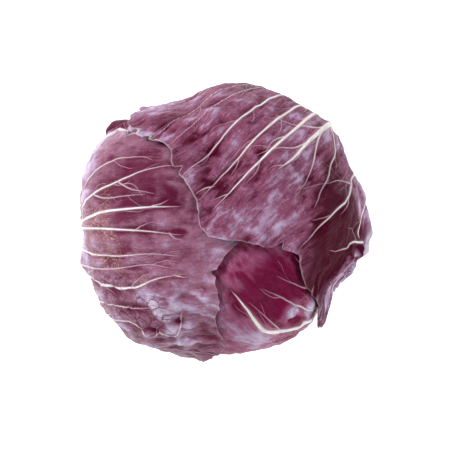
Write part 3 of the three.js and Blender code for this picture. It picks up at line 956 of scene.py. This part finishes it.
class Shader:
    """A material and its node tree."""

    def __init__(self, name):
        self.material = bpy.data.materials.new(name)
        self.material.use_nodes = True
        self.tree = self.material.node_tree
        self.surface = self.tree.nodes["Principled BSDF"]

    def node(self, kind, settings, inputs, output=0):
        """Adds a node, sets it up, feeds its sockets and gives one of its outputs."""
        made = self.tree.nodes.new(kind)
        for key, value in settings.items():
            setattr(made, key, value)
        for key, value in inputs.items():
            self.feed(made.inputs[key], value)
        return Wire(self, made.outputs[output])

    def feed(self, socket, value):
        if isinstance(value, Wire):
            self.tree.links.new(value.socket, socket)
        else:
            socket.default_value = value

    def math(self, operation, *values):
        is_vector = any(isinstance(value, Wire) and value.socket.type == "VECTOR" for value in values)
        kind = "ShaderNodeVectorMath" if is_vector else "ShaderNodeMath"
        if is_vector:
            values = [value if isinstance(value, Wire) else (value,) * 3 for value in values]
        return self.node(kind, {"operation": operation}, dict(enumerate(values)))

    def attribute(self, name):
        """The three numbers of a vector attribute."""
        return self.split(self.node("ShaderNodeAttribute", {"attribute_name": name}, {}, "Vector"))

    def split(self, vector):
        return [self.node("ShaderNodeSeparateXYZ", {}, {0: vector}, axis) for axis in "XYZ"]

    def place(self):
        """The place on the object itself, in millimetres."""
        return self.node("ShaderNodeTexCoord", {}, {}, "Object") * 1000.0

    def point(self, x, y, z):
        return self.node("ShaderNodeCombineXYZ", {}, {0: x, 1: y, 2: z})

    def fade(self, value, low, high):
        """0 at low and 1 at high, with a smooth ramp between them."""
        settings = {"interpolation_type": "SMOOTHSTEP"}
        return self.node("ShaderNodeMapRange", settings, {"Value": value, "From Min": low, "From Max": high})

    def noise(self, vector, scale, detail, roughness=0.5):
        inputs = {"Vector": vector, "Scale": scale, "Detail": detail, "Roughness": roughness}
        return self.node("ShaderNodeTexNoise", {}, inputs, "Fac")

    def cell_edges(self, vector, scale):
        settings = {"feature": "DISTANCE_TO_EDGE"}
        return self.node("ShaderNodeTexVoronoi", settings, {"Vector": vector, "Scale": scale}, "Distance")

    def mix(self, share, first, second):
        """A colour that goes from the first to the second as the share goes from 0 to 1."""
        return self.node("ShaderNodeMix", {"data_type": "RGBA"}, {0: share, 6: first, 7: second}, 2)

    def finish(self, **values):
        """Sets the Principled shader's sockets, named with underscores for spaces."""
        for key, value in values.items():
            self.feed(self.surface.inputs[key.replace("_", " ")], value)
        return self.material


def srgb(red, green, blue):
    """A colour as a paint chart gives it, 0 to 255, in Blender's linear light."""
    channels = [channel / 255 for channel in (red, green, blue)]
    linear = [c / 12.92 if c <= 0.04045 else ((c + 0.055) / 1.055) ** 2.4 for c in channels]
    return (*linear, 1.0)


print("middle grey in linear light:", round(srgb(128, 128, 128)[0], 3))

# %% [markdown]
# ## The leaf's skin
#
# From the bottom up: a deep burgundy, clouded by mauve bloom and painted sheen, painted lighter on the crests
# as highlight, up to near-white painted glints, and darker in the hollows as painted shade; a fine net of
# dark lines; streaks along the fan; white branches and ribs that flush pink at their sides; tan specks; and
# the thick leaf base, which is white where it joins the stem. The blade is waxy, so it has a thin coat with
# soft, pinkish highlights. Leaf 1 is the dullest, and also the most streaked.

# %% Leaf material
RIB_WHITE = srgb(246, 242, 242)
RIB_CREAM = srgb(236, 230, 204)
VEIN_PINK = srgb(206, 158, 182)
NET_DARK = srgb(112, 24, 62)
# Lavender for the bloom and for painted sheen, and near white for painted highlights on the crests.
BLOOM_AND_PAINTED_SHEEN = srgb(192, 170, 203)
PAINTED_GLINT = srgb(232, 220, 232)
TAN = srgb(196, 152, 112)
INSIDE_PINK = srgb(196, 150, 170)
TINTS = {
    1: (srgb(72, 3, 30), srgb(138, 76, 104)),
    2: (srgb(90, 20, 50), srgb(145, 94, 116)),
    3: (srgb(112, 12, 56), srgb(158, 84, 118)),
}
USUAL_TINT = (srgb(84, 14, 44), srgb(138, 70, 104))
HIGHLIGHT_TINT = srgb(222, 130, 186)
FINISHES = {1: (0.06, 0.35, 1.7), 3: (0.12, 0.3, 1.0)}  # shine, creaminess of the ribs, streaks
USUAL_FINISH = (0.2, 0.2, 1.0)
VEIN_SOFTNESS = 0.35


def vein_masks(skin, name):
    """How much a point is in the line of a set of veins, in the flush beside it, and how wide the vein is."""
    share, gap, width = skin.attribute(name)
    near = skin.fade(gap, 1.6, 0.9)
    line = skin.fade(abs(share), 1 + VEIN_SOFTNESS, 1 - VEIN_SOFTNESS) * near
    flush = skin.fade(abs(share), 3.2, 1.0) * skin.fade(gap, 3.2, 1.4)
    return line, flush, width


def leaf_material(leaf):
    deep, clouded = TINTS.get(leaf.number, USUAL_TINT)
    shine, cream, streaks = FINISHES.get(leaf.number, USUAL_FINISH)
    skin = Shader(f"radicchio_leaf_{leaf.number:02d}")
    x, y, inside = skin.attribute("sheet")
    across, along, white = skin.attribute("fan")
    # The crest and the bloom carry painted light: highlight on crests and ridges, shade in hollows and holes.
    crest, bloom_and_light, aged = skin.attribute("tone")
    rim, is_coarse, net = skin.attribute("place")
    place = skin.point(x, y, leaf.number * 13.7)
    streaked = skin.point(across, along * 0.12, leaf.number * 5.3)
    wander_x = skin.noise(place, 0.22, 2.0) * 6
    wander_y = skin.noise(skin.point(y, x, leaf.number * 3.1), 0.25, 2.0) * 6
    warped = skin.point(x + wander_x, y + wander_y, leaf.number * 13.7)

    cloud = skin.noise(place, 0.12, 4.0, 0.6)
    mottle = skin.noise(place, 0.5, 4.0, 0.65)
    streak = skin.noise(streaked, 0.7, 3.0, 0.65)
    fine_streak = skin.noise(streaked, 1.3, 2.0, 0.5)
    pits = skin.noise(place, 1.8, 3.0, 0.6)
    contrast = 0.35 + skin.fade(bloom_and_light, -0.7, 0.7) * 0.75
    # The crest term paints highlight on crests and shade in hollows; the noise terms are the leaf's own
    # uneven tone.
    texture_and_shading = crest * 0.8 + (cloud - 0.5) + (streak - 0.5) * streaks
    texture_and_shading = texture_and_shading + (mottle - 0.5) * 0.9 + (pits - 0.5) * 0.5
    amount = bloom_and_light + texture_and_shading * contrast
    # Deep, then clouded, then lavender as bloom and painted sheen, then a near-white painted glint on the
    # highest crests.
    blade = skin.mix(skin.fade(amount, -0.3, 0.8), deep, clouded)
    blade = skin.mix(skin.fade(amount, 0.7, 1.6) * 0.85, blade, BLOOM_AND_PAINTED_SHEEN)
    blade = skin.mix(skin.fade(amount, 1.4, 2.2) * 0.6, blade, PAINTED_GLINT)
    thread = skin.fade(abs(fine_streak - 0.5), 0.035, 0.0) * skin.fade(amount, -0.1, 0.9)
    blade = skin.mix(thread * 0.4, blade, BLOOM_AND_PAINTED_SHEEN)
    # Painted shade: hollows are darkened towards the deep colour.
    blade = skin.mix(skin.fade(crest, -0.3, -1.2) * 0.6, blade, deep)

    net_line = skin.fade(skin.cell_edges(warped, 0.15), 0.05, 0.012) * skin.fade(net, 0.1, 0.9)
    fine_net = skin.fade(cloud + net * 0.2, 0.45, 0.7)
    fine_line = skin.fade(skin.cell_edges(warped, 0.42), 0.07, 0.015) * fine_net
    blade = skin.mix(net_line * 0.75, blade, NET_DARK)
    blade = skin.mix(fine_line * 0.3, blade, NET_DARK)

    creamy = skin.fade(skin.noise(place, 0.06, 1.0), 0.45, 0.7)
    rib = skin.mix(creamy * cream, RIB_WHITE, RIB_CREAM)
    raised = 0.0
    for name in ("side_a", "side_b", "main_a", "main_b"):
        line, flush, width = vein_masks(skin, name)
        strong = skin.fade(width, 0.1, 0.42)
        blade = skin.mix(flush * strong * 0.3, blade, VEIN_PINK)
        pale = skin.mix(strong, VEIN_PINK, rib)
        blade = skin.mix(line * (0.35 + strong * 0.65), blade, pale)
        raised = raised + line * strong * 0.45 - flush * 0.12

    dots = skin.noise(place, 1.3, 2.0, 0.6)
    spot = skin.fade(dots, 0.56, 0.62) * skin.fade(aged + (cloud - 0.5) * 1.5, 0.25, 0.9)
    blade = skin.mix(spot * 0.8, blade, TAN)
    edge_line = skin.fade(inside, 0.3 + rim * 1.8, 0.1 + rim * 0.8)
    blade = skin.mix(edge_line * (0.05 + rim * 0.9), blade, RIB_WHITE)
    ragged_white = white + (streak - 0.5) * 0.8
    blade = skin.mix(skin.fade(ragged_white, 0.25, 0.95), blade, rib)
    blade = skin.mix(is_coarse * 0.6, blade, INSIDE_PINK)

    grain = streak * 0.8 + mottle * 0.6 + pits * 0.3 + thread * 0.15
    grain = grain - net_line * 0.4 - fine_line * 0.2 + raised
    bump = skin.node("ShaderNodeBump", {}, {"Strength": 1.0, "Distance": 0.001, "Height": grain})
    return skin.finish(
        Base_Color=blade,
        Roughness=0.4 - (pits - 0.5) * 0.25,
        Normal=bump,
        Specular_IOR_Level=shine,
        Specular_Tint=HIGHLIGHT_TINT,
        Coat_Weight=shine / 5,
        Coat_Roughness=0.25,
    )


print("leaves with tints of their own:", sorted(TINTS))

# %% Make the twelve leaves
for leaf in LEAVES:
    piece = build_leaf(leaf)
    piece.data.materials.append(leaf_material(leaf))
    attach(piece, "root")
    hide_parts(leaf.node)
    triangles = sum(len(face.vertices) - 2 for face in piece.data.polygons)
    print(piece.name, "has", triangles, "triangles")

# %% [markdown]
# ## The stem
#
# The butt is a short stump with a flat, browned cut. A profile spun round the axis gives it a soft rim. It
# is slightly fluted where the leaf bases part from it.

# %% Stem
STEM_TOP = 10.2
STEM_PROFILE = [(0, 0), (4, 0), (8, 0.02), (11.2, 0.1), (12.1, 0.5), (12.4, 1.4), (12.3, 4), (12.4, 7),
                (12.1, 8.4), (11.3, 9.6), (10, STEM_TOP), (5, STEM_TOP), (0, STEM_TOP)]
STEM_STEPS = 96
FLUTES = 8
FLUTE_DEPTH = 0.018
FLUTE_TWIST = 0.8


def build_stem():
    bm = bmesh.new()
    verts = [bm.verts.new((radius * MM, 0, height * MM)) for radius, height in STEM_PROFILE]
    edges = [bm.edges.new(pair) for pair in zip(verts, verts[1:])]
    around = {"cent": (0, 0, 0), "axis": (0, 0, 1), "angle": math.tau}
    bmesh.ops.spin(bm, geom=verts + edges, steps=STEM_STEPS, use_merge=True, **around)
    bmesh.ops.remove_doubles(bm, verts=bm.verts, dist=1e-6)
    for vert in bm.verts:
        angle = math.atan2(vert.co.y, vert.co.x)
        flute = 1 - FLUTE_DEPTH * (1 + math.sin(FLUTES * angle + FLUTE_TWIST * vert.co.z / MM))
        vert.co.x *= flute
        vert.co.y *= flute
    bmesh.ops.recalc_face_normals(bm, faces=bm.faces)
    mesh = mesh_from(bm, "stem_butt")
    shade_smooth(mesh)
    return add_object(mesh)


def stem_material():
    flesh = Shader("stem_flesh")
    place = flesh.place()
    x, y, z = flesh.split(place)
    from_axis = flesh.math("SQRT", x * x + y * y)
    mottle = flesh.noise(place, 0.35, 4.0, 0.6)
    fibre = flesh.noise(flesh.point(x, y, z * 0.1), 1.6, 3.0, 0.6)
    colour = flesh.mix(mottle, srgb(226, 218, 196), srgb(204, 188, 150))
    on_cut = flesh.fade(z, 0.9, 0.2)
    outward = flesh.fade(from_axis + (mottle - 0.5) * 5, 3, 12)
    browned = flesh.mix(outward, srgb(186, 160, 118), srgb(132, 96, 62))
    colour = flesh.mix(on_cut * 0.85, colour, browned)
    bundles = flesh.fade(abs(from_axis - 8 + (fibre - 0.5) * 2), 0.9, 0.2) * on_cut
    colour = flesh.mix(bundles * 0.5, colour, srgb(96, 66, 44))
    bump = flesh.node("ShaderNodeBump", {}, {"Strength": 0.7, "Distance": 0.0006, "Height": fibre + mottle})
    return flesh.finish(Base_Color=colour, Roughness=0.55 + fibre * 0.2, Normal=bump)


stem = build_stem()
stem.data.materials.append(stem_material())
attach(stem, "root")
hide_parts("stem")
print("stem radius", STEM_RADIUS, "mm, height", STEM_TOP, "mm")

# %% [markdown]
# ## The heart
#
# The heart is inside the leaves and doesn't show, so the frame's own solid stays. It still gets a finish,
# pink at the crown and white at its base, with the streaks of packed young leaves.

# %% Heart


def heart_material():
    bud = Shader("heart_bud")
    x, y, z = bud.split(bud.place())
    streak = bud.noise(bud.point(x, y, z * 0.15), 0.5, 4.0, 0.6)
    colour = bud.mix(bud.fade(z + (streak - 0.5) * 30, 20, 60), srgb(236, 230, 214), srgb(190, 120, 150))
    bump = bud.node("ShaderNodeBump", {}, {"Strength": 0.6, "Distance": 0.001, "Height": streak})
    return bud.finish(Base_Color=colour, Roughness=0.45 + streak * 0.2, Normal=bump)


heart_bud = heart_material()
for material_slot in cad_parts["heart"].material_slots:
    material_slot.material = heart_bud
print("heart keeps", len(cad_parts["heart"].data.polygons), "faces of the frame")

# %% [markdown]
# ## Studio
#
# A wide pale floor and a pale sky give an even, shadowless ground. One soft light from the upper left models
# the creases, and a larger, weaker one opposite keeps the shadows open. The camera looks straight down on the
# crown through a long lens.

# %% Floor
FLOOR_SIZE = 4.0


def build_floor():
    bm = bmesh.new()
    bmesh.ops.create_grid(bm, x_segments=2, y_segments=2, size=FLOOR_SIZE)
    return add_object(mesh_from(bm, "floor"))


floor = build_floor()
paper = Shader("floor_paper")
floor.data.materials.append(
    paper.finish(
        Base_Color=srgb(244, 243, 243),
        Roughness=0.9,
        Specular_IOR_Level=0.1,
        Emission_Color=srgb(255, 255, 255),
        Emission_Strength=0.7,
    )
)
print("floor is", 2 * FLOOR_SIZE, "m wide")

# %% Lights


def soft_light(name, place, size, watts):
    data = bpy.data.lights.new(name, "AREA")
    data.size = size
    data.energy = watts
    light = add_object(data)
    light.location = place
    aim = Vector((0, 0, CENTRE_HEIGHT * MM)) - light.location
    light.rotation_euler = aim.to_track_quat("-Z", "Y").to_euler()
    return light


KEY_LIGHT = soft_light("key", place=(-0.55, 0.35, 0.6), size=0.25, watts=7)
FILL_LIGHT = soft_light("fill", place=(0.65, -0.4, 0.65), size=0.45, watts=4.5)
world = bpy.data.worlds.new("studio")
bpy.context.scene.world = world
world.use_nodes = True
SKY = world.node_tree.nodes["Background"]
SKY.inputs["Color"].default_value = srgb(246, 246, 250)
SKY.inputs["Strength"].default_value = 0.34
bpy.context.scene.view_settings.view_transform = "Standard"
print("lights:", KEY_LIGHT.name, FILL_LIGHT.name)

# %% Camera
IMAGE_PIXELS = 453
HEAD_MIDDLE_PIXEL = (224, 223)
MM_PER_PIXEL = 0.428
CAMERA_HEIGHT = 1400
SENSOR = 36

camera_data = bpy.data.cameras.new("camera")
camera_data.sensor_width = SENSOR
view_width = IMAGE_PIXELS * MM_PER_PIXEL
camera_data.lens = SENSOR * (CAMERA_HEIGHT - CENTRE_HEIGHT) / view_width
camera = add_object(camera_data)
aside = (IMAGE_PIXELS / 2 - HEAD_MIDDLE_PIXEL[0]) * MM_PER_PIXEL
above = (HEAD_MIDDLE_PIXEL[1] - IMAGE_PIXELS / 2) * MM_PER_PIXEL
camera.location = Vector((aside, above, CAMERA_HEIGHT)) * MM
bpy.context.scene.camera = camera
print("lens", round(camera_data.lens, 1), "mm")
